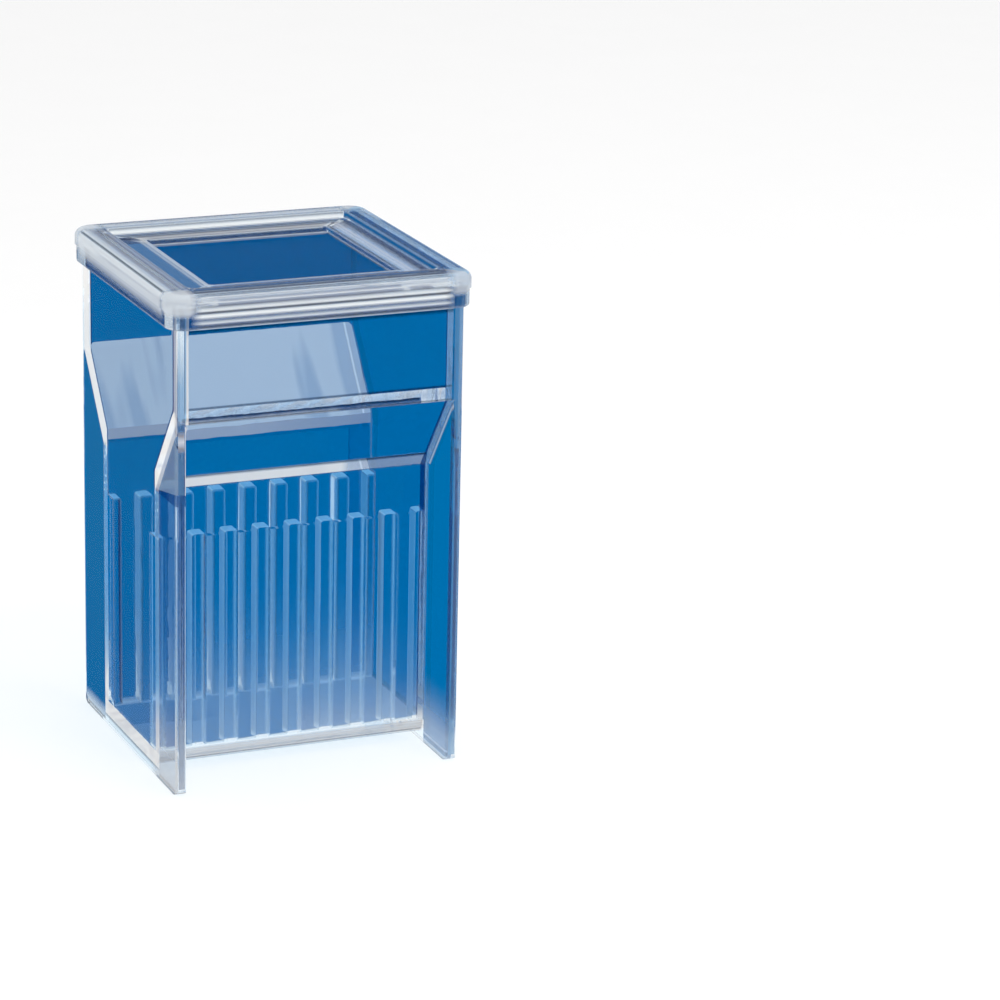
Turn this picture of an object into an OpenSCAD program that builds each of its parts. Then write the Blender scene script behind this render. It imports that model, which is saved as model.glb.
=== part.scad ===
// Slide staining jar: a clear moulded jar on two end plates, with a ribbed
// compartment for upright slides under a wide mouth, and its lift-off lid.
// Millimetres, +Z up. X runs along the row of slots and Y across the slides.
// The origin is on the ground, under the middle of the jar.

/* [Slides] */
// Width of the slides that stand in the slots
slide_w = 26; // [20:0.5:30]
// Play across a slide, between the two slot bottoms
slide_play = 1.4; // [0.4:0.1:3]
// Number of slots
slot_n = 8; // [2:1:12]
// Width of one slot, for two slides back to back
slot_w = 3.5; // [1.4:0.1:5]
// Width of a rib between two slots
rib_w = 2.6; // [2:0.1:6]
// Width of the half rib against each end plate
end_rib_w = 1.7; // [1:0.1:4]
// How far a rib stands out from the wall
rib_d = 3; // [1.5:0.1:5]
// Height of the rib tops above the ground
rib_top_z = 44.4; // [20:0.1:52]
// Radius on the upper corners of a rib
rib_r = 0.5; // [0.2:0.05:0.9]

/* [Jar] */
// Width of the jar across the slides
jar_w = 53.6; // [48:0.1:64]
// Height of the rim above the ground
rim_z = 89.4; // [84:0.1:110]
// Thickness of the two end plates
plate_t = 2; // [1.7:0.1:4]
// Radius along the upright edges of the end plates
plate_r = 0.8; // [0.2:0.05:0.8]
// Radius on the lower corners of the end plates
foot_r = 2; // [1:0.1:6]
// Wall of the wide mouth on the two long sides
mouth_wall = 2.8; // [2:0.1:4]
// Radius in the upright corners of the mouth
mouth_r = 1; // [0.5:0.1:3]
// Wall of the shoulder, square to its slope
shoulder_wall = 3.4; // [2.4:0.1:4]
// Height where the mouth's outer wall turns in to the shoulder
shoulder_top_z = 68.5; // [64:0.1:74]
// Height where the shoulder's outer face turns down to the compartment
shoulder_low_z = 53.8; // [50:0.1:58]
// Wall of the slide compartment, at a slot bottom
slot_wall = 2; // [1.4:0.1:3]
// Gap between the compartment's underside and the ground
floor_gap = 1.5; // [0.8:0.1:4]
// Thickness of the compartment's floor
floor_t = 2.8; // [1.8:0.1:5]
// Radius on the compartment's lower outer corners
bottom_r = 3; // [1:0.1:4.5]
// Radius in the compartment's lower inner corners
floor_r = 1; // [0.3:0.1:2]

/* [Lid] */
// Clearance between the jar and the lid's skirt
lid_clear = 0.3; // [0.2:0.05:0.6]
// Wall of the lid's skirt
skirt_wall = 1.1; // [1:0.1:2]
// Depth of the skirt below the jar's rim
skirt_drop = 3.9; // [2:0.1:10]
// Radius along the skirt's lower edge
lip_r = 0.4; // [0.1:0.05:0.8]
// How far the bead stands out from the skirt
bead_out = 0.3; // [0.1:0.05:1]
// Height of the bead
bead_h = 3; // [2.2:0.1:4]
// Radius along the bead's upper edge
bead_r = 1.5; // [0.5:0.1:2]
// Radius on the lid's upright corners, at the bead
lid_corner_r = 3.8; // [2.6:0.1:4.2]
// Thickness of the lid where it lies on the jar's rim
lid_t = 2.4; // [1.8:0.1:4]
// Width of the flat band from the bead's outer face to the first step
band_w = 5.2; // [4:0.1:8]
// Depth of the first step
step_depth = 1.2; // [0.6:0.1:1.8]
// Radius on the corners of the first step
step_r = 1.6; // [0.5:0.1:3]
// Width of the ledge between the first step and the centre panel
ledge_w = 5.8; // [3:0.1:9]
// Depth of the centre panel below the ledge
panel_depth = 1; // [0.4:0.1:1.6]
// Radius on the corners of the centre panel
panel_r = 0.8; // [0.4:0.1:3]
// Thickness of the centre panel
panel_t = 1.8; // [1.2:0.1:3]
// Gap between the lid's plug and the jar's mouth
plug_clear = 0.6; // [0.3:0.1:1.5]
// Radius on the plug's upright corners
plug_r = 2; // [1:0.1:4]

/* [Hidden] */
$fn = 64;
eps = 0.01;
jar_colour = [0.36, 0.64, 0.86];
lid_colour = [0.62, 0.80, 0.93];

// the row of slots sets the jar's length
slot_pitch = slot_w + rib_w;
row_l = slot_n * slot_w + (slot_n - 1) * rib_w;
inner_x = row_l / 2 + end_rib_w;
jar_x = inner_x + plate_t;

// the slides set the compartment's width
jar_y = jar_w / 2;
mouth_y = jar_y - mouth_wall;
slot_y = (slide_w + slide_play) / 2;
slot_out_y = slot_y + slot_wall;
rib_y = slot_y - rib_d;
floor_z = floor_gap + floor_t;

// the shoulder's outer slope, and its inner slope a wall's thickness in
slope_y = jar_y - slot_out_y;
slope_z = shoulder_top_z - shoulder_low_z;
slope_lift = shoulder_wall * sqrt(slope_y * slope_y + slope_z * slope_z) / slope_y;
function inner_slope_z(y) = shoulder_top_z + slope_lift - (jar_y - y) * slope_z / slope_y;

// the lid goes round the jar and lies on its rim
skirt_gap = lid_clear + skirt_wall;
bead_x = jar_x + skirt_gap + bead_out;
bead_y = jar_y + skirt_gap + bead_out;
skirt_z = rim_z - skirt_drop;
lid_top_z = rim_z + lid_t;
bead_z = lid_top_z - bead_h;
ledge_z = lid_top_z - step_depth;
panel_z = ledge_z - panel_depth;
plug_z = panel_z - panel_t;

// an outline drawn as (Y, Z), run along X from the middle to both sides
module along_x(length) {
    rotate([90, 0, 90]) translate([0, 0, -length / 2]) linear_extrude(length) children();
}

// an outline drawn as (X, Z), run along Y from the middle to both sides
module along_y(length) {
    rotate([90, 0, 0]) translate([0, 0, -length / 2]) linear_extrude(length) children();
}

// rectangle between two corners, with one radius on all four
module round_box(x0, y0, x1, y1, r) {
    translate([x0 + r, y0]) square([x1 - x0 - 2 * r, y1 - y0]);
    translate([x0, y0 + r]) square([x1 - x0, y1 - y0 - 2 * r]);
    for (x = [x0 + r, x1 - r], y = [y0 + r, y1 - r])
        translate([x, y]) circle(r);
}

// rectangle about the centre, with one radius on all four corners
module round_rect(half_x, half_y, r) {
    round_box(-half_x, -half_y, half_x, half_y, r);
}

// ---- jar ----

// section across the slides: wide mouth, sloping shoulder, narrow compartment
module jar_section(wide, narrow, top, bend_top, bend_low, bottom, r) {
    polygon([
        [wide, top], [wide, bend_top], [narrow, bend_low], [narrow, bottom + r],
        [-narrow, bottom + r], [-narrow, bend_low], [-wide, bend_top], [-wide, top]
    ]);
    translate([r - narrow, bottom]) square([2 * (narrow - r), r + eps]);
    for (s = [-1, 1]) translate([s * (narrow - r), bottom + r]) circle(r);
}

// mouth, shoulder and compartment as one solid, ending inside the end plates
module jar_block() {
    along_x(2 * jar_x - plate_t)
        jar_section(jar_y, slot_out_y, rim_z, shoulder_top_z, shoulder_low_z,
            floor_gap, bottom_r);
}

// one end plate: full width and height, down to the ground as a foot
module end_plate(side) {
    intersection() {
        linear_extrude(rim_z)
            translate([side * (jar_x - plate_t / 2), 0])
                round_rect(plate_t / 2, jar_y, plate_r);
        along_x(2 * jar_x)
            round_box(-jar_y, 0, jar_y, rim_z + 2 * foot_r, foot_r);
    }
}

// the space inside, before the ribs take their share of it
module jar_space() {
    intersection() {
        linear_extrude(rim_z + eps) round_rect(inner_x, mouth_y, mouth_r);
        along_x(2 * inner_x)
            jar_section(mouth_y, slot_y, rim_z + eps, inner_slope_z(mouth_y),
                inner_slope_z(slot_y), floor_z, floor_r);
    }
}

// face of one rib, from under the floor's surface to its rounded top
module rib_face(x0, x1) {
    translate([x0, 0]) square([x1 - x0, rib_top_z - rib_r]);
    round_box(x0, 0, x1, rib_top_z, rib_r);
}

// every rib of the row, half ribs at its two ends included
module rib_faces() {
    for (i = [1 : slot_n - 1]) {
        slot_end = i * slot_pitch - row_l / 2;
        rib_face(slot_end - rib_w, slot_end);
    }
    for (side = [-1, 1])
        translate([side * (inner_x + plate_t / 2 - end_rib_w / 2), 0])
            rib_face(-(end_rib_w + plate_t) / 2, (end_rib_w + plate_t) / 2);
}

// the ribs of both long walls, which leave the middle of the space free
module ribs() {
    difference() {
        along_y(2 * slot_out_y) rib_faces();
        translate([-jar_x, -rib_y, 0]) cube([2 * jar_x, 2 * rib_y, rim_z]);
    }
}

module jar() {
    color(jar_colour) difference() {
        union() {
            jar_block();
            for (side = [-1, 1]) end_plate(side);
        }
        difference() {
            jar_space();
            ribs();
        }
    }
}

// ---- lid ----

// half section of the lid's edge: skirt with a round lip under the round bead
module edge_section(reach) {
    skirt = reach - bead_out;
    translate([0, skirt_z]) square([skirt - lip_r, bead_z - skirt_z + eps]);
    translate([0, skirt_z + lip_r]) square([skirt, bead_z - skirt_z - lip_r + eps]);
    translate([skirt - lip_r, skirt_z + lip_r]) circle(lip_r);
    translate([0, bead_z]) square([reach, bead_h - bead_r]);
    translate([0, bead_z]) square([reach - bead_r, bead_h]);
    translate([reach - bead_r, lid_top_z - bead_r]) circle(bead_r);
}

// both edges of the lid, back to back
module lid_section(reach) {
    edge_section(reach);
    mirror([1, 0]) edge_section(reach);
}

// the lid as one solid: a run each way and a turned post in each corner
module lid_block() {
    corner_x = bead_x - lid_corner_r;
    corner_y = bead_y - lid_corner_r;
    along_x(2 * corner_x) lid_section(bead_y);
    along_y(2 * corner_y) lid_section(bead_x);
    for (x = [-corner_x, corner_x], y = [-corner_y, corner_y])
        translate([x, y, 0]) rotate_extrude() edge_section(lid_corner_r);
}

// the space under the lid, round the plug that drops into the mouth
module lid_space() {
    difference() {
        translate([0, 0, skirt_z - eps]) linear_extrude(skirt_drop + eps)
            round_rect(jar_x + lid_clear, jar_y + lid_clear, plate_r + lid_clear);
        translate([0, 0, plug_z]) linear_extrude(lid_top_z - plug_z)
            round_rect(inner_x - plug_clear, mouth_y - plug_clear, plug_r);
    }
}

// a sunk level of the lid's top, a given way in from the bead's outer face
module sunk_level(z, inset, r) {
    translate([0, 0, z]) linear_extrude(lid_t)
        round_rect(bead_x - inset, bead_y - inset, r);
}

module lid() {
    color(lid_colour) difference() {
        lid_block();
        lid_space();
        sunk_level(ledge_z, band_w, step_r);
        sunk_level(panel_z, band_w + ledge_w, panel_r);
    }
}

jar();
lid();
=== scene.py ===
"""Looks of the slide staining jar and its lid, and the studio they stand in."""

import math

import bpy
from mathutils import Matrix, Vector


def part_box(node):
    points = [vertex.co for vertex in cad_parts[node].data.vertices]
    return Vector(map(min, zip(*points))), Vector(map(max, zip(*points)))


bl_info = {
    "name": "Slide staining jar",
    "version": (1, 0, 0),
    "blender": (4, 0, 0),
    "location": "View3D > Sidebar > Staining jar",
    "description": "Dresses a clear moulded staining jar and its lid, and sets a plain studio round them",
    "category": "Object",
}

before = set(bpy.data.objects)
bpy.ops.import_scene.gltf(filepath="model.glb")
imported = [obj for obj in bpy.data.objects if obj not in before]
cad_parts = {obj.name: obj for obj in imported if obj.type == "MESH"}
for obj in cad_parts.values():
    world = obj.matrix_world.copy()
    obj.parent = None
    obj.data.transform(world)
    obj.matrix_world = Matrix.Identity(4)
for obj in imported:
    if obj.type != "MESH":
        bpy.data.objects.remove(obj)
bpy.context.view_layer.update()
jar_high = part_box("jar")[1]
lid_low, lid_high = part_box("lid")


# ---- sizes and colours that a user would change ----


class JarSizes(bpy.types.PropertyGroup):
    """Walls of the moulding, which the painted light and shade follow."""

    plate: bpy.props.FloatProperty(
        name="End plate", description="Thickness of the two end plates", default=0.002, unit="LENGTH"
    )
    mouth_wall: bpy.props.FloatProperty(
        name="Mouth wall", description="Wall of the wide mouth", default=0.0028, unit="LENGTH"
    )
    slot_wall: bpy.props.FloatProperty(
        name="Slot wall", description="Wall of the slide compartment", default=0.002, unit="LENGTH"
    )
    slot_out: bpy.props.FloatProperty(
        name="Compartment half width", description="From the middle to the compartment's outer face",
        default=0.0157, unit="LENGTH"
    )
    shoulder_top: bpy.props.FloatProperty(
        name="Shoulder top", description="Height where the outer wall turns in", default=0.0685, unit="LENGTH"
    )
    shoulder_low: bpy.props.FloatProperty(
        name="Shoulder foot", description="Height where the slope meets the compartment",
        default=0.0538, unit="LENGTH"
    )
    underside: bpy.props.FloatProperty(
        name="Underside", description="Height of the compartment's underside", default=0.0015, unit="LENGTH"
    )
    floor_top: bpy.props.FloatProperty(
        name="Floor", description="Height of the compartment's floor, inside", default=0.0043, unit="LENGTH"
    )
    rib_top: bpy.props.FloatProperty(
        name="Rib tops", description="Height of the tops of the ribs", default=0.0444, unit="LENGTH"
    )
    rib_pitch: bpy.props.FloatProperty(
        name="Rib pitch", description="From one rib to the next", default=0.0061, unit="LENGTH"
    )
    rib_width: bpy.props.FloatProperty(
        name="Rib width", description="Width of a rib", default=0.0026, unit="LENGTH"
    )
    # height that the painted glow of the floor's light reaches in the lower jar
    haze: bpy.props.FloatProperty(
        name="Haze", description="Height that the pale haze over the floor reaches", default=0.032,
        unit="LENGTH"
    )
    soft_edge: bpy.props.FloatProperty(
        name="Soft edge", description="Width of the softened edges of the jar and the lid", default=0.00025,
        unit="LENGTH"
    )


class LidSizes(bpy.types.PropertyGroup):
    """Steps of the lid, which its painted light and shade follow."""

    bead: bpy.props.FloatProperty(
        name="Bead", description="Height of the bead round the lid", default=0.003, unit="LENGTH"
    )
    band: bpy.props.FloatProperty(
        name="Band", description="Width of the flat band from the bead's outer face to the first step",
        default=0.0052, unit="LENGTH"
    )
    step: bpy.props.FloatProperty(
        name="Step", description="Depth of the first step", default=0.0012, unit="LENGTH"
    )
    ledge: bpy.props.FloatProperty(
        name="Ledge", description="Width of the ledge between the first step and the centre panel",
        default=0.0058, unit="LENGTH"
    )
    air_film: bpy.props.FloatProperty(
        name="Air film", description="Air between the jar's rim and the lid that lies on it", default=0.00003,
        unit="LENGTH"
    )


class PlasticColours(bpy.types.PropertyGroup):
    """Colours of the clear plastic, and of the light and shade painted on it: the blue seen through it, the
    glow and highlights along its edges, and dark lines.
    """

    clear: bpy.props.FloatVectorProperty(
        name="Clear", description="What an outer face lets through", subtype="COLOR", size=4,
        default=(0.93, 0.97, 1.0, 1.0)
    )
    # painted see-through blue: a blue background seen through the clear plastic, painted as a tint on the
    # faces round the inner space
    deep: bpy.props.FloatVectorProperty(
        name="Deep", description="What a face round the space inside lets through", subtype="COLOR", size=4,
        default=(0.0, 0.157, 0.405, 1.0)
    )
    # painted glow and highlights along the edges, standing in for light caught in the clear plastic
    glow: bpy.props.FloatVectorProperty(
        name="Glow", description="Pale colour of the edges", subtype="COLOR", size=4,
        default=(0.96, 0.87, 0.8, 1.0)
    )
    # light blue of the painted highlights on the ribs' sides and caps
    cool: bpy.props.FloatVectorProperty(
        name="Cool", description="Light blue of the ribs' sides and caps", subtype="COLOR", size=4,
        default=(0.3, 0.68, 1.0, 1.0)
    )
    # painted dark lines, standing in for the shade and dark refraction where the faces turn
    line: bpy.props.FloatVectorProperty(
        name="Line", description="Dark lines along the steps", subtype="COLOR", size=4,
        default=(0.02, 0.06, 0.11, 1.0)
    )
    # painted highlight of the lid's rounded rim
    rim: bpy.props.FloatVectorProperty(
        name="Rim", description="Pale colour of the lid's rounded rim", subtype="COLOR", size=4,
        default=(0.95, 0.93, 0.91, 1.0)
    )
    shade: bpy.props.FloatVectorProperty(
        name="Shade", description="What the plastic lets through of a lamp's light", subtype="COLOR", size=4,
        default=(0.93, 0.96, 0.98, 1.0)
    )


# ---- shader maths ----


class Value:
    """A socket that takes part in Python arithmetic by adding Math nodes."""

    def __init__(self, tree, socket):
        self.tree = tree
        self.socket = socket

    def maths(self, operation, first, second):
        node = self.tree.add("ShaderNodeMath", {"operation": operation}, {0: first, 1: second})
        return Value(self.tree, node.outputs[0])

    def __add__(self, other):
        return self.maths("ADD", self, other)

    def __radd__(self, other):
        return self.maths("ADD", other, self)

    def __sub__(self, other):
        return self.maths("SUBTRACT", self, other)

    def __rsub__(self, other):
        return self.maths("SUBTRACT", other, self)

    def __mul__(self, other):
        return self.maths("MULTIPLY", self, other)

    def __rmul__(self, other):
        return self.maths("MULTIPLY", other, self)

    def __neg__(self):
        return self.maths("MULTIPLY", self, -1.0)

    def __pow__(self, other):
        return self.maths("POWER", self, other)

    def __abs__(self):
        return self.maths("ABSOLUTE", self, 0.0)

    def __lt__(self, other):
        return self.maths("LESS_THAN", self, other)

    def __gt__(self, other):
        return self.maths("GREATER_THAN", self, other)

    def __mod__(self, other):
        return self.maths("FLOORED_MODULO", self, other)

    def at_most(self, other):
        return self.maths("MINIMUM", self, other)

    def at_least(self, other):
        return self.maths("MAXIMUM", self, other)

    def ramp(self, low, high):
        """0 at low and 1 at high, straight between, and flat past both."""
        node = self.tree.add("ShaderNodeMapRange", {}, {0: self, 1: low, 2: high})
        return Value(self.tree, node.outputs[0])


class Tree:
    """The nodes of one material."""

    def __init__(self, material):
        material.use_nodes = True
        self.nodes = material.node_tree.nodes
        self.links = material.node_tree.links
        self.nodes.clear()

    def add(self, kind, settings=None, sockets=None):
        """A node of this kind: its settings first, then values or links for its sockets."""
        node = self.nodes.new(kind)
        for name, value in (settings or {}).items():
            setattr(node, name, value)
        for key, value in (sockets or {}).items():
            value = value.socket if isinstance(value, Value) else value
            if isinstance(value, bpy.types.NodeSocket):
                self.links.new(value, node.inputs[key])
            else:
                node.inputs[key].default_value = value
        return node

    def value(self, node, output=0):
        return Value(self, node.outputs[output])

    def mix(self, share, first, second):
        """A mix of two shaders, as its output socket."""
        return self.add("ShaderNodeMixShader", {}, {0: share, 1: first, 2: second}).outputs[0]

    def surface(self, shader):
        self.add("ShaderNodeOutputMaterial", {}, {"Surface": shader})


# ---- finishes: clear plastic with painted light and shade ----

TOUCH = 0.0003  # a point this near to a face's plane counts as on it
HAIR = 0.0001  # the smallest distance that tells two faces apart
GROUND = 0.0005  # a face below this height is on the ground
FACING, UPWARD = 0.6, 0.7  # a face whose normal has more than this of an axis looks that way
END_RIB = 0.002  # a bit wider than the half rib against an end plate
INNER_LOW, INNER_TOP = 0.003, 0.0019  # how much higher the shoulder turns inside than outside
SHIFT_Y, SHIFT_Z = 0.0016, 0.0005  # how far a wall's end looks moved through the end plate
GLEAM = 0.01  # the least share of a face's reflection that shows


def split_xyz(tree, vector):
    """The three parts of a vector, as values."""
    parts = tree.add("ShaderNodeSeparateXYZ", {}, {0: vector})
    return [tree.value(parts, axis) for axis in range(3)]


class Place:
    """Where a point of the surface is, in metres, which way it faces, and if it is met from behind."""

    def __init__(self, tree):
        spot = tree.add("ShaderNodeTexCoord")
        geometry = tree.add("ShaderNodeNewGeometry")
        self.tree = tree
        self.spot = spot.outputs["Object"]
        self.x, self.y, self.z = split_xyz(tree, self.spot)
        self.facing_x, _, self.facing_z = split_xyz(tree, spot.outputs["Normal"])
        self.behind = tree.value(geometry, "Backfacing")


def edge_share(tree, radius):
    """1 along the moulding's edges and 0 on its faces."""
    flat = tree.add("ShaderNodeNewGeometry").outputs["Normal"]
    rounded = tree.add("ShaderNodeBevel", {"samples": 4}, {"Radius": radius}).outputs[0]
    lean = tree.add("ShaderNodeVectorMath", {"operation": "DOT_PRODUCT"}, {0: flat, 1: rounded})
    return tree.value(lean, "Value").ramp(0.999, 0.85)


def near(value, spot, reach=TOUCH):
    """1 where a value is within reach of this spot, and 0 elsewhere."""
    return abs(value - spot) < reach


def stroke(value, spot, width):
    """1 where a value is at this spot, falling to 0 a width away."""
    return abs(value - spot).ramp(width, 0.0)


def most(first, *others):
    """The largest of several shares."""
    for other in others:
        first = first.at_least(other)
    return first


def lines(value, *strokes):
    """The strongest of several strokes, each given by its spot, its width and its strength."""
    return most(*[stroke(value, spot, width) * strength for spot, width, strength in strokes])


# ---- the jar's painted light and shade: its left is -X, and its front is -Y, on the camera's side ----


def wall_lines(sizes, z):
    """The outer and inner faces of the front and back walls at a height, as distances from the middle."""
    half_y = jar_high[1]
    slot_in = sizes.slot_out - sizes.slot_wall
    lift_out = z.ramp(sizes.shoulder_low, sizes.shoulder_top)
    lift_in = z.ramp(sizes.shoulder_low + INNER_LOW, sizes.shoulder_top + INNER_TOP)
    outer = lift_out * (half_y - sizes.slot_out) + sizes.slot_out
    inner = lift_in * (half_y - sizes.mouth_wall - slot_in) + slot_in
    return outer, inner


class JarRegions:
    """The regions of the jar's surface, each 1 on its own faces and 0 elsewhere."""

    def __init__(self, sizes, at):
        half_x, half_y = jar_high[0], jar_high[1]
        self.inner_x = half_x - sizes.plate
        self.slot_in = sizes.slot_out - sizes.slot_wall
        self.outer, self.inner = wall_lines(sizes, at.z)
        self.left, self.front = at.x < 0.0, at.y < 0.0
        self.right, self.back = 1 - self.left, 1 - self.front
        self.low = at.z < sizes.shoulder_low
        self.high = 1 - self.low

        # the compartment and its ribs
        self.between = abs(at.x) < self.inner_x - 2 * HAIR
        self.slots = self.between * (abs(at.y) < self.slot_in + 2 * HAIR) * self.low
        self.ribs = self.slots * (abs(at.y) < self.slot_in - HAIR) * (at.z > sizes.floor_top - TOUCH)
        self.rib_side = self.ribs * (abs(at.facing_x) > FACING)
        self.end_rib = at.x > self.inner_x - END_RIB
        self.slot_face = self.between * near(abs(at.y), self.slot_in)
        above_corner = at.z > sizes.shoulder_low + 0.001 * self.back
        self.low_turn = self.slot_face * above_corner * (at.z < sizes.shoulder_low + INNER_LOW)

        # the shoulder and the mouth
        sloping = near(abs(at.facing_z), 0.6, 0.2)
        by_shoulder = (at.z > sizes.shoulder_low - 0.0008) * (at.z < sizes.shoulder_top + 0.0025)
        self.back_slope = self.between * self.back * sloping * by_shoulder
        self.upper_front = self.front * self.between * (abs(at.y) > half_y - TOUCH)

        # the end plates, and the flanges that they form past the walls
        self.flange = abs(at.y) > self.outer
        self.plate_inside = near(abs(at.x), self.inner_x)
        self.left_outside = self.left * (abs(at.x) > half_x - TOUCH)
        self.plate_end = (abs(at.x) > self.inner_x + HAIR) * (abs(at.y) > half_y - HAIR)
        self.near_end = self.plate_end * self.left * self.front
        self.right_end = self.plate_end * self.right * self.front
        self.below_apex = at.z.ramp(sizes.shoulder_top + 0.001, sizes.shoulder_top)
        self.right_base = self.plate_inside * self.flange * self.front * self.right
        self.foot_rim = self.left * (at.z < GROUND) * (abs(at.y) > sizes.slot_out)

        # the floor's rounded front edge, and the painted glow that rises from the feet, standing in for the
        # floor's light
        by_floor = self.between * self.front * (at.z < sizes.floor_top + TOUCH)
        self.floor_lines = by_floor * (abs(at.y) > sizes.slot_out - 0.003) * lines(
            at.z - sizes.underside, (0.0003, 0.0003, 0.85), (0.00115, 0.0003, 0.8), (0.00235, 0.0003, 0.3))
        floor_edge = self.between * self.front * (abs(at.y) > self.slot_in + 0.001)
        floor_edge = floor_edge * at.z.ramp(sizes.floor_top + 0.0005, sizes.floor_top)
        past_wall = abs(at.y).ramp(sizes.slot_out - 0.003, sizes.slot_out + 0.002)
        self.foot = most(
            self.front * past_wall * self.left_outside * (at.z.ramp(sizes.haze + 0.004, 0.0) ** 3.2),
            self.front * self.plate_end * (at.z.ramp(sizes.haze + 0.002, 0.0) ** 2.2),
            floor_edge * (1 - self.floor_lines) * 0.8,
        )
        self.right_foot = self.front * self.right * self.flange * (at.z.ramp(0.015, -0.001) ** 2.2)


def inside_share(sizes, at):
    """1 on the faces round the jar's inner space and 0 on its outer faces."""
    half_x, half_y = jar_high[0], jar_high[1]
    wide = half_y - sizes.mouth_wall / 2
    narrow = sizes.slot_out - sizes.slot_wall / 2
    lift = at.z.ramp(sizes.shoulder_low + INNER_LOW / 2, sizes.shoulder_top + INNER_TOP / 2)
    middle = lift * (wide - narrow) + narrow
    over_floor = at.z > (sizes.underside + sizes.floor_top) / 2
    return (abs(at.x) < half_x - sizes.plate / 2) * (abs(at.y) < middle) * over_floor


def flange_share(sizes, at, jar):
    """How much painted see-through blue the inner faces of the flanges get: clear on the near left and the
    far right ones.
    """
    half_x = jar_high[0]
    facing_in = (abs(at.x) < half_x - sizes.plate / 2) * (abs(at.x) > half_x - 1.1 * sizes.plate)
    depth = 0.08 + 0.92 * ((at.x * at.y) < 0.0)
    return facing_in * jar.flange * depth * at.z.ramp(0.0, 0.0008 + 0.0022 * jar.back)


def wall_ends(sizes, at):
    """How much painted glow the ends of the walls and of the floor get, where they show through the end plate
    that they run into.
    """
    y, z = at.y + SHIFT_Y, at.z - SHIFT_Z
    outer, inner = wall_lines(sizes, z)
    high, far = z > sizes.shoulder_low, y > 0.0
    above = z > sizes.underside
    wall = (abs(y) < outer) * (abs(y) > inner) * above
    strength = high * (0.4 + 0.16 * far) + (1 - high) * (0.26 + 0.34 * z.ramp(0.02, 0.006))
    rounding = z.ramp(sizes.underside + 0.002, sizes.underside) * 0.0018
    floor = (abs(y) < outer - rounding) * above * (z < sizes.floor_top)
    return most(wall * strength, floor * 0.72) * (abs(at.x) > jar_high[0] - TOUCH)


def jar_painted_blue(sizes, at, jar):
    """How much painted see-through blue each place on the jar shows, standing in for a blue background seen
    through the clear plastic.
    """
    inside = inside_share(sizes, at) * (1 - 0.9 * at.behind) * (1 - 0.6 * jar.rib_side * (1 - jar.end_rib))

    # the near front end: painted blue up to the shoulder's top, and a little less below the ribs' tops
    near_end = jar.below_apex * 0.88 - at.z.ramp(sizes.rib_top + 0.0016, 0.034) * 0.11

    # the faces next to the two end plates
    by_plate = jar.front * (1 - at.behind) * (abs(at.y) > jar.outer - TOUCH)
    beside = by_plate * (at.x > jar.inner_x - 0.0015) * at.z.ramp(0.004, 0.007)
    upper_corner = by_plate * (at.x < -jar.inner_x - HAIR) * jar.high * at.z.ramp(0.085, 0.075)
    inner_corner = near(at.x, -jar.inner_x, 0.0005) * near(abs(at.y), jar.inner, 0.0006)
    near_flange = jar.left_outside * jar.front * jar.low * jar.flange * at.z.ramp(0.006, 0.03)

    deep = most(
        inside,
        flange_share(sizes, at, jar),
        jar.right_end * 0.85,
        jar.plate_end * jar.left * jar.back * jar.low,
        jar.near_end * near_end,
        inner_corner * jar.front * jar.high * 0.9,
        beside * 0.85,
        upper_corner * 0.75,
        jar.upper_front * (stroke(at.z, sizes.shoulder_top + 0.0014, 0.0016) ** 0.3) * 0.5,
    )
    return most(
        deep * (1 - 0.5 * jar.right_foot),
        jar.foot * (1 - 0.7 * jar.right_end) * 0.28,
        near_flange * 0.3,
    )


def jar_painted_shade(sizes, at, jar):
    """How dark each place on the jar is: painted dark lines where its faces turn, standing in for shade and
    dark refraction, a painted shadow just below the lid, and grey over the feet.
    """
    along = (at.x + sizes.rib_pitch / 2) % sizes.rib_pitch - sizes.rib_pitch / 2
    rib_line = (jar.ribs - jar.rib_side) * stroke(along, 0.0004 - sizes.rib_width / 2, 0.0003)
    floor_end = jar.left_outside * (abs(at.y + SHIFT_Y) < jar.outer)
    return most(
        rib_line * 0.4,
        # painted shadow of the lid along the front wall, just below the lid
        jar.upper_front * (1 - at.behind) * stroke(at.z, lid_low[2] - 0.0005, 0.0006) * 0.75,
        jar.upper_front * lines(at.z - sizes.shoulder_top, (0.0002, 0.0003, 0.7), (0.0027, 0.0003, 0.7)),
        floor_end * stroke(at.z, sizes.underside + 0.0003, 0.0005) * 0.6,
        near(at.x, -jar.inner_x) * (abs(at.y) < jar.inner) * 0.09,
        jar.foot * (1 - 0.7 * jar.right_end) * 0.35,
        jar.foot_rim * 0.6,
        jar.floor_lines,
        jar.low_turn * jar.front * stroke(at.z, sizes.shoulder_low + 0.0028, 0.0006) * 0.8,
        jar.slot_face * jar.front * stroke(at.z, sizes.shoulder_low - 0.0002, 0.0005) * 0.6,
        jar.plate_inside * jar.flange * jar.left * jar.back * 0.2,
        jar.right_base * lines(at.z, (0.0001, 0.0003, 0.7), (0.0014, 0.0004, 0.5)),
    )


def painted_reflection_share(at, jar):
    """A painted reflection of the lamp's light over the back shoulder, with faint streaks and a bright right
    edge.
    """
    stretched = at.tree.add("ShaderNodeMapping", {}, {0: at.spot, 3: (150.0, 20.0, 20.0)}).outputs[0]
    noise = at.tree.add("ShaderNodeTexNoise", {}, {"Vector": stretched, "Scale": 1.0, "Detail": 2.0})
    streaks = at.tree.value(noise)
    return most(
        jar.back_slope * (at.facing_z > 0.3) * (0.42 + 0.17 * streaks.ramp(0.6, 0.5)),
        jar.back_slope * stroke(at.x, jar.inner_x - 0.0016, 0.0006) * 0.8,
    )


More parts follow.
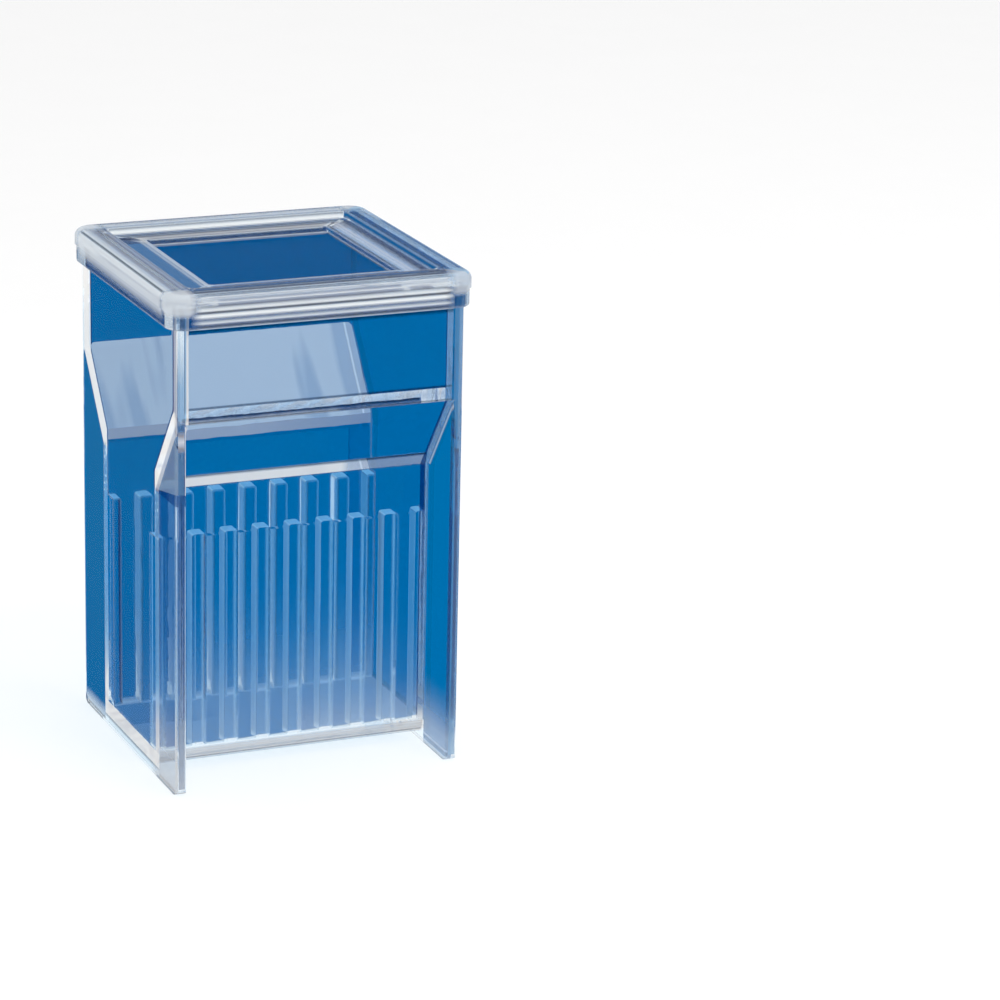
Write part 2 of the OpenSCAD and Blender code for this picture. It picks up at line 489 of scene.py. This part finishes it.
def jar_painted_glow(sizes, at, edge, jar, dark):
    """How much painted glow each place on the jar gets: painted highlights on its edges and ribs, painted
    glow of the floor's light low down, the wall ends, and the painted reflection on the shoulder.
    """
    # a painted highlight along the lower turn of the shoulder, which fades to the right
    front_fade = 0.12 + 0.58 * at.x.ramp(0.0083, 0.0098)
    back_fade = 0.35 * at.x.ramp(0.0, jar.inner_x)
    low_turn = jar.low_turn * ((1 - dark) ** 2) * (1 - jar.front * front_fade - jar.back * back_fade)

    # the painted glow of the floor's light in the slots, painted highlights on the ribs' lit sides and tops,
    # and on the floor
    painted_floor_glow = jar.slots * (at.z.ramp(sizes.haze, 0.004) ** 2.2) * (0.09 + 0.14 * jar.ribs)
    lit_side = jar.ribs * (at.facing_x < -FACING) * (1 - at.behind) * (1 - 0.4 * jar.end_rib)
    cap = jar.slots * (at.facing_z > FACING) * (at.z > sizes.rib_top - 0.004)
    floor = jar.between * (at.facing_z > UPWARD) * near(at.z, sizes.floor_top, 0.0015)
    pale = most(
        edge * (0.1 + 0.27 * jar.ribs),
        low_turn * (0.34 + 0.38 * at.behind),
        painted_floor_glow * (1 - 0.65 * jar.back * at.x.ramp(-0.009, -0.02)),
        lit_side * 0.36,
        cap * 0.55,
        floor * (stroke(at.y, jar.slot_in - 0.0017, 0.0017) ** 0.4) * 0.45,
        floor * 0.12,
        jar.right_end * 0.13,
        jar.foot * 0.4,
        (jar.right_foot * 0.5).at_most(0.2),
    )

    # painted glow on the plates' inner faces, over the left slope and along the right one
    over_slope = at.z > sizes.shoulder_low + 0.18 * (abs(at.y) - sizes.slot_out)
    beside_slope = jar.high * stroke(abs(at.y) - jar.outer, 0.0007, 0.0006)
    apex = jar.left * over_slope * 0.6 + jar.right * beside_slope * 0.4
    return most(
        pale * (1 - 0.7 * jar.foot_rim),
        painted_reflection_share(at, jar),
        apex * jar.plate_inside * jar.front * jar.flange,
        jar.near_end * (1 - jar.below_apex) * 0.3,
        jar.near_end * stroke(at.z, sizes.shoulder_top - 0.003, 0.0022) * 0.6,
        jar.right_base * lines(at.z, (0.0007, 0.0004, 0.6), (0.002, 0.0005, 0.5)),
        wall_ends(sizes, at),
        edge * (at.z < 0.0035) * 0.3,
    )


def jar_painted_glow_blue(at, jar):
    """How far the painted glow turns to light blue."""
    return most(
        jar.slots * (0.5 + 0.5 * at.z.ramp(0.006, 0.024)),
        jar.back_slope * 0.3,
        jar.right_end * 0.6,
        jar.right_foot * 0.45,
        jar.near_end * (1 - jar.below_apex) * 0.7,
        jar.left_outside * jar.low * at.z.ramp(0.01, 0.018) * 0.85,
    )


def jar_look(at, edge):
    """How much painted blue, painted dark lines and painted glow the jar gets at each place, how blue its
    glow is, and how much it gleams.
    """
    sizes = bpy.context.scene.jar_sizes
    jar = JarRegions(sizes, at)
    dark = jar_painted_shade(sizes, at, jar)
    pale = jar_painted_glow(sizes, at, edge, jar, dark)
    return jar_painted_blue(sizes, at, jar), dark, pale, jar_painted_glow_blue(at, jar), GLEAM + 0.2 * jar.back_slope


# ---- the lid's painted light and shade ----


class LidRegions:
    """The regions of the lid's surface, each 1 on its own faces and 0 elsewhere."""

    def __init__(self, sizes, at):
        half, top = lid_high[0], lid_high[2]
        wide_x, wide_y = abs(at.x), abs(at.y)
        self.left, self.right = -at.x > wide_y, at.x > wide_y
        self.back, self.front = at.y > wide_x, -at.y > wide_x

        # the way in from the bead's outer face, and the way down from the top
        self.inset, self.drop = half - wide_x.at_least(wide_y), top - at.z

        # the runs between the corners, and the corners themselves
        across = wide_x.at_most(wide_y)
        self.run = across.ramp(half - 0.004, half - 0.006)
        self.corner = across.ramp(half - 0.0056, half - 0.0038) * self.drop.ramp(0.0042, 0.0032)

        # the levels of its top, and the upright faces between them
        panel_inset = sizes.band + sizes.ledge
        upward = at.facing_z > UPWARD
        self.band = upward * (self.inset < sizes.band)
        self.ledge = upward * (self.inset > sizes.band) * (self.inset < panel_inset)
        self.panel = upward * (self.inset > panel_inset)
        self.side = (1 - upward) * (self.inset < 0.0015)
        self.bead = self.side * (self.drop < sizes.bead + 0.0002)
        self.skirt = self.side * (self.drop.ramp(0.0058, 0.0036) ** 1.5)
        self.riser = (1 - upward) * near(self.inset, sizes.band, 0.0004) * (self.drop < sizes.step + 0.0002)
        self.panel_step = (1 - upward) * near(self.inset, panel_inset, 0.0004)


def lid_painted_shade(lid):
    """How dark each place on the lid is: painted dark lines along its bead, band, ledge and steps, standing
    in for shade and dark refraction, and a little painted shade over the panel.
    """
    front_side = lines(
        lid.drop,
        (0.0021, 0.0004, 0.6), (0.0033, 0.0004, 0.8), (0.0046, 0.0003, 0.3), (0.0058, 0.0004, 0.6),
    )
    front_band = lines(lid.inset, (0.0009, 0.0007, 0.5), (0.0033, 0.0012, 0.6), (0.0022, 0.0025, 0.45))
    right_ledge = lines(lid.inset, (0.0064, 0.0008, 0.5), (0.0107, 0.0006, 0.7))
    dark = most(
        lid.front * lid.side * front_side,
        lid.front * lid.band * front_band,
        lid.left * (lid.drop < 0.001) * stroke(lid.inset, 0.0007, 0.0003),
        lid.left * lid.band * stroke(lid.inset, 0.0034, 0.0006) * 0.5,
        lid.left * lid.ledge * 0.12,
        lid.back * lid.band * stroke(lid.inset, 0.0008, 0.0009) * 0.6,
        lid.back * lid.riser * stroke(lid.drop, 0.0003, 0.0004) * 0.6,
        lid.back * lid.ledge * stroke(lid.inset, 0.0074, 0.001) * 0.65,
        lid.back * lid.panel_step * 0.4,
        lid.right * lid.ledge * right_ledge,
    )
    return most(dark * lid.run, lid.panel * 0.08)


def lid_painted_glow(at, edge, lid, dark):
    """How much painted highlight each place on the lid gets: its bead, its corners, and lines along its
    steps.
    """
    front_side = lines(
        lid.drop,
        (0.0003, 0.0007, 0.55), (0.0014, 0.0006, 0.5), (0.00275, 0.0005, 0.8), (0.0039, 0.0006, 1.0),
        (0.0051, 0.0004, 0.65), (0.0062, 0.0004, 0.5), (0.0025, 0.0045, 0.36),
    )
    left_band = (0.3 - 0.1 * lid.inset.ramp(0.0, 0.003)) * lid.inset.ramp(0.0052, 0.0046)
    left_ledge = lines(lid.inset, (0.0056, 0.0004, 0.4), (0.0104, 0.0008, 0.4), (0.008, 0.01, 0.05))
    pale = most(
        lid.bead * (0.5 * lid.left + 0.22 * lid.right + 0.3 * lid.back),
        lid.left * lid.skirt * 0.42,
        lid.front * lid.side * front_side,
        lid.front * lid.band * lines(lid.inset, (0.0, 0.0006, 0.45), (0.0022, 0.005, 0.14)),
        lid.front * lid.ledge * stroke(lid.inset, 0.0105, 0.0008) * 0.35,
        lid.left * lid.band * left_band,
        lid.left * lid.ledge * left_ledge,
        lid.right * lid.band * lines(lid.inset, (0.0012, 0.0012, 0.15), (0.0026, 0.0026, 0.07)),
        lid.right * lid.ledge * lines(lid.inset, (0.0085, 0.002, 0.32), (0.0085, 0.004, 0.24)),
        lid.back * lid.band * lines(lid.inset, (0.0036, 0.0016, 0.4), (0.0026, 0.0028, 0.15)),
        lid.back * lid.riser * stroke(lid.drop, 0.001, 0.0006) * 0.95,
        lid.back * lid.ledge * lines(lid.inset, (0.0056, 0.0008, 0.65), (0.0098, 0.0018, 0.5)),
        lid.panel * (lid.back + lid.left) * stroke(lid.inset, 0.0112, 0.0004) * 0.4,
    )
    return most(
        pale * lid.run * (1 - 0.9 * dark),
        edge * (1 - dark) * 0.24,
        lid.corner * (0.46 - 0.12 * (at.x > 0.0)),
    )


def lid_look(at, edge):
    """The same for the lid: a painted highlight on its rounded rim, painted dark lines along its steps, and
    painted blue and grey.
    """
    lid = LidRegions(bpy.context.scene.lid_sizes, at)
    dark = lid_painted_shade(lid)
    pale = lid_painted_glow(at, edge, lid, dark)
    # painted grey on the band, the sides, the corners and the back ledge, laid into the painted blue and the
    # dark lines
    painted_grey = most(
        lid.band * (1 - lid.right) * (0.34 + 0.12 * lid.front),
        lid.side * 0.3,
        lid.corner * 0.45,
        lid.back * (lid.band + lid.ledge) * 0.4,
    )
    # painted see-through blue on the lid, standing in for a blue background seen through it
    deep = most(
        lid.right * lid.riser,
        lid.right * lid.band * 0.4,
        lid.right * lid.bead * 0.4,
        lid.left * lid.band * stroke(lid.inset, 0.0049, 0.0008) * 0.7,
        lid.panel * 0.2,
        painted_grey * 0.8,
    )
    return deep, most(dark, painted_grey * 0.45), pale, lid.right * lid.band * 0.6, GLEAM


# ---- materials and pieces ----

# the diffuse and translucent shaders that draw the painted glow and highlights
GLOW = ("ShaderNodeBsdfDiffuse", "ShaderNodeBsdfTranslucent")
REFRACTION = 1.49  # refractive index of the clear plastic
EDGE_RADIUS = 0.0009  # how far an edge's glow reaches into its faces


def clear_plastic(name, look, glow_colour):
    """Polished clear plastic, with painted see-through blue, painted dark lines and painted glow where its
    look says so, and bright where it reflects.
    """
    colours = bpy.context.scene.plastic_colours
    material = bpy.data.materials.new(name)
    tree = Tree(material)
    at = Place(tree)
    edge = edge_share(tree, EDGE_RADIUS)
    deep, dark, pale, cool, gleam = look(at, edge)
    swell = tree.value(tree.add("ShaderNodeTexNoise", {}, {"Vector": at.spot, "Scale": 90.0, "Detail": 3.0}))
    wave = tree.add("ShaderNodeBump", {}, {"Strength": 0.02, "Distance": 0.001, "Height": swell}).outputs[0]

    bend = {"IOR": REFRACTION, "Roughness": 0.0, "Normal": wave}
    # refraction through the clear plastic, through the painted see-through blue, and through the painted dark
    # lines
    clear, blue, line = [
        tree.add("ShaderNodeBsdfRefraction", {}, {"Color": tuple(colour), **bend}).outputs[0]
        for colour in (colours.clear, colours.deep, colours.line)
    ]
    passing = tree.mix(dark, tree.mix(deep, clear, blue), line)
    shine = tree.value(tree.add("ShaderNodeFresnel", {}, {"IOR": REFRACTION, "Normal": wave}))
    mirror = tree.add("ShaderNodeBsdfGlossy", {}, {"Color": (1, 1, 1, 1), "Roughness": 0.02, "Normal": wave})
    share = gleam + (1 - gleam) * (shine ** 3).at_least(edge * 0.4)
    glass = tree.mix(shine * share, passing, mirror.outputs[0])

    # the painted glow, warm or light blue, laid over the glass
    warm, blueish = [
        tree.mix(0.5, *[tree.add(kind, {}, {"Color": tuple(colour)}).outputs[0] for kind in GLOW])
        for colour in (glow_colour, colours.cool)
    ]
    plastic = tree.mix(pale, glass, tree.mix(cool, warm, blueish))

    path = tree.add("ShaderNodeLightPath")
    lamp_ray = tree.value(path, "Is Shadow Ray").at_least(tree.value(path, "Is Diffuse Ray"))
    let_by = tree.add("ShaderNodeBsdfTransparent", {}, {"Color": tuple(colours.shade)}).outputs[0]
    tree.surface(tree.mix(lamp_ray, plastic, let_by))
    return material


def dress(node, material, film=0.0):
    """Softens a piece's edges and gives it its material with the painted light and shade, a film of air in
    from its own faces.
    """
    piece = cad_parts[node]
    weld = piece.modifiers.new("weld", "WELD")
    weld.merge_threshold = 1e-6
    if film:
        draw_in = piece.modifiers.new("air film", "DISPLACE")
        draw_in.mid_level = 0.0
        draw_in.strength = -film
    flatten = piece.modifiers.new("flatten", "DECIMATE")
    flatten.decimate_type = "DISSOLVE"
    flatten.angle_limit = math.radians(1)
    split = piece.modifiers.new("split", "TRIANGULATE")
    split.min_vertices = 5
    soften = piece.modifiers.new("soften", "BEVEL")
    soften.width = bpy.context.scene.jar_sizes.soft_edge
    soften.segments = 2
    soften.limit_method = "ANGLE"
    soften.angle_limit = math.radians(35)
    shade = piece.modifiers.new("shade", "WEIGHTED_NORMAL")
    shade.keep_sharp = False
    shade.weight = 50
    piece.data.materials.clear()
    piece.data.materials.append(material)


class JAR_OT_jar(bpy.types.Operator):
    """Dress the jar in clear plastic with painted light and shade"""

    bl_idname = "staining_jar.jar"
    bl_label = "Jar"

    def execute(self, context):
        colours = context.scene.plastic_colours
        dress("jar", clear_plastic("jar plastic", jar_look, colours.glow))
        return {"FINISHED"}


class JAR_OT_lid(bpy.types.Operator):
    """Dress the lid in clear plastic with painted light and shade"""

    bl_idname = "staining_jar.lid"
    bl_label = "Lid"

    def execute(self, context):
        colours = context.scene.plastic_colours
        material = clear_plastic("lid plastic", lid_look, colours.rim)
        dress("lid", material, context.scene.lid_sizes.air_film)
        return {"FINISHED"}


# ---- stage: metres and degrees ----

CAMERA_SPOT = (-0.2423, -0.6635, 0.26408)
CAMERA_TURN, CAMERA_DOWN, CAMERA_ROLL = 23.482, 17.212, 1.314
CAMERA_LENS = 145.96  # millimetres, on a sensor 36 mm wide
KEY_SPOT, KEY_TARGET = (0.30, -0.50, 0.86), (0.0, 0.02, 0.064)
KEY_WIDTH, KEY_HEIGHT, KEY_RADIANCE = 0.26, 0.16, 22.0
DAYLIGHT = 0.9  # strength of the white world
GROUND_SIZE = 12
GROUND_GREYS = ((0.965, 0.965, 0.965, 1), (0.98, 0.98, 0.98, 1))
BOUNCES = 32  # a ray passes many clear faces before it leaves the jar


def aim(thing, spot, target):
    """Puts a lamp at a spot, turned to its target."""
    thing.location = spot
    thing.rotation_euler = (Vector(target) - Vector(spot)).to_track_quat("-Z", "Y").to_euler()


def softbox(name, spot, target, width, height, radiance):
    """A soft rectangular lamp whose face has this radiance."""
    lamp = bpy.data.lights.new(name, "AREA")
    lamp.shape = "RECTANGLE"
    lamp.size = width
    lamp.size_y = height
    lamp.energy = radiance * math.pi * width * height
    thing = bpy.data.objects.new(name, lamp)
    bpy.context.scene.collection.objects.link(thing)
    thing.visible_glossy = False
    thing.visible_transmission = False
    aim(thing, spot, target)


def lay_ground():
    """A pale floor with a faint grain."""
    bpy.ops.mesh.primitive_plane_add(size=GROUND_SIZE)
    ground = bpy.context.object
    ground.name = "floor"
    material = bpy.data.materials.new("floor")
    tree = Tree(material)
    spot = tree.add("ShaderNodeTexCoord").outputs["Object"]
    grain = tree.value(tree.add("ShaderNodeTexNoise", {}, {"Vector": spot, "Scale": 40.0}))
    dark, pale = GROUND_GREYS
    grey = tree.add("ShaderNodeMix", {"data_type": "RGBA"}, {0: grain, 6: dark, 7: pale}).outputs[2]
    finish = {"Base Color": grey, "Roughness": 0.7, "Specular IOR Level": 0.2}
    tree.surface(tree.add("ShaderNodeBsdfPrincipled", {}, finish).outputs[0])
    ground.data.materials.append(material)


def set_light(scene):
    """A white world and one soft lamp above the front right."""
    world = bpy.data.worlds.new("studio")
    scene.world = world
    world.use_nodes = True
    air = world.node_tree.nodes["Background"]
    air.inputs["Color"].default_value = (1, 1, 1, 1)
    air.inputs["Strength"].default_value = DAYLIGHT
    softbox("key", KEY_SPOT, KEY_TARGET, KEY_WIDTH, KEY_HEIGHT, KEY_RADIANCE)


def set_camera(scene):
    """A long lens that looks down at the jar from the front left."""
    camera = bpy.data.objects.new("camera", bpy.data.cameras.new("camera"))
    scene.collection.objects.link(camera)
    camera.data.sensor_width = 36.0
    camera.data.lens = CAMERA_LENS
    camera.data.clip_start = 0.01
    camera.data.clip_end = 30.0
    camera.matrix_world = (
        Matrix.Translation(CAMERA_SPOT)
        @ Matrix.Rotation(math.radians(-CAMERA_TURN), 4, "Z")
        @ Matrix.Rotation(math.radians(90 - CAMERA_DOWN), 4, "X")
        @ Matrix.Rotation(math.radians(CAMERA_ROLL), 4, "Z")
    )
    scene.camera = camera


class JAR_OT_stage(bpy.types.Operator):
    """Set the pale floor, the soft light and the camera"""

    bl_idname = "staining_jar.stage"
    bl_label = "Stage"

    def execute(self, context):
        scene = context.scene
        lay_ground()
        set_light(scene)
        set_camera(scene)
        scene.view_settings.view_transform = "Standard"
        scene.cycles.max_bounces = BOUNCES
        scene.cycles.transmission_bounces = BOUNCES
        scene.cycles.transparent_max_bounces = BOUNCES
        scene.cycles.glossy_bounces = BOUNCES
        return {"FINISHED"}


class JAR_PT_panel(bpy.types.Panel):
    """Lists the sizes, the colours and the steps"""

    bl_label = "Staining jar"
    bl_idname = "JAR_PT_panel"
    bl_space_type = "VIEW_3D"
    bl_region_type = "UI"
    bl_category = "Staining jar"

    def draw(self, context):
        layout = self.layout
        scene = context.scene
        for group in (scene.jar_sizes, scene.lid_sizes, scene.plastic_colours):
            for name in group.__annotations__:
                layout.prop(group, name)
        for step in STEPS:
            layout.operator(step.bl_idname)


STEPS = (JAR_OT_jar, JAR_OT_lid, JAR_OT_stage)
CLASSES = (JarSizes, LidSizes, PlasticColours, *STEPS, JAR_PT_panel)


def register():
    for kind in CLASSES:
        bpy.utils.register_class(kind)
    bpy.types.Scene.jar_sizes = bpy.props.PointerProperty(type=JarSizes)
    bpy.types.Scene.lid_sizes = bpy.props.PointerProperty(type=LidSizes)
    bpy.types.Scene.plastic_colours = bpy.props.PointerProperty(type=PlasticColours)


def unregister():
    del bpy.types.Scene.plastic_colours
    del bpy.types.Scene.lid_sizes
    del bpy.types.Scene.jar_sizes
    for kind in reversed(CLASSES):
        bpy.utils.unregister_class(kind)


def main():
    register()
    bpy.ops.staining_jar.jar()
    bpy.ops.staining_jar.lid()
    bpy.ops.staining_jar.stage()


if __name__ == "__main__":
    main()
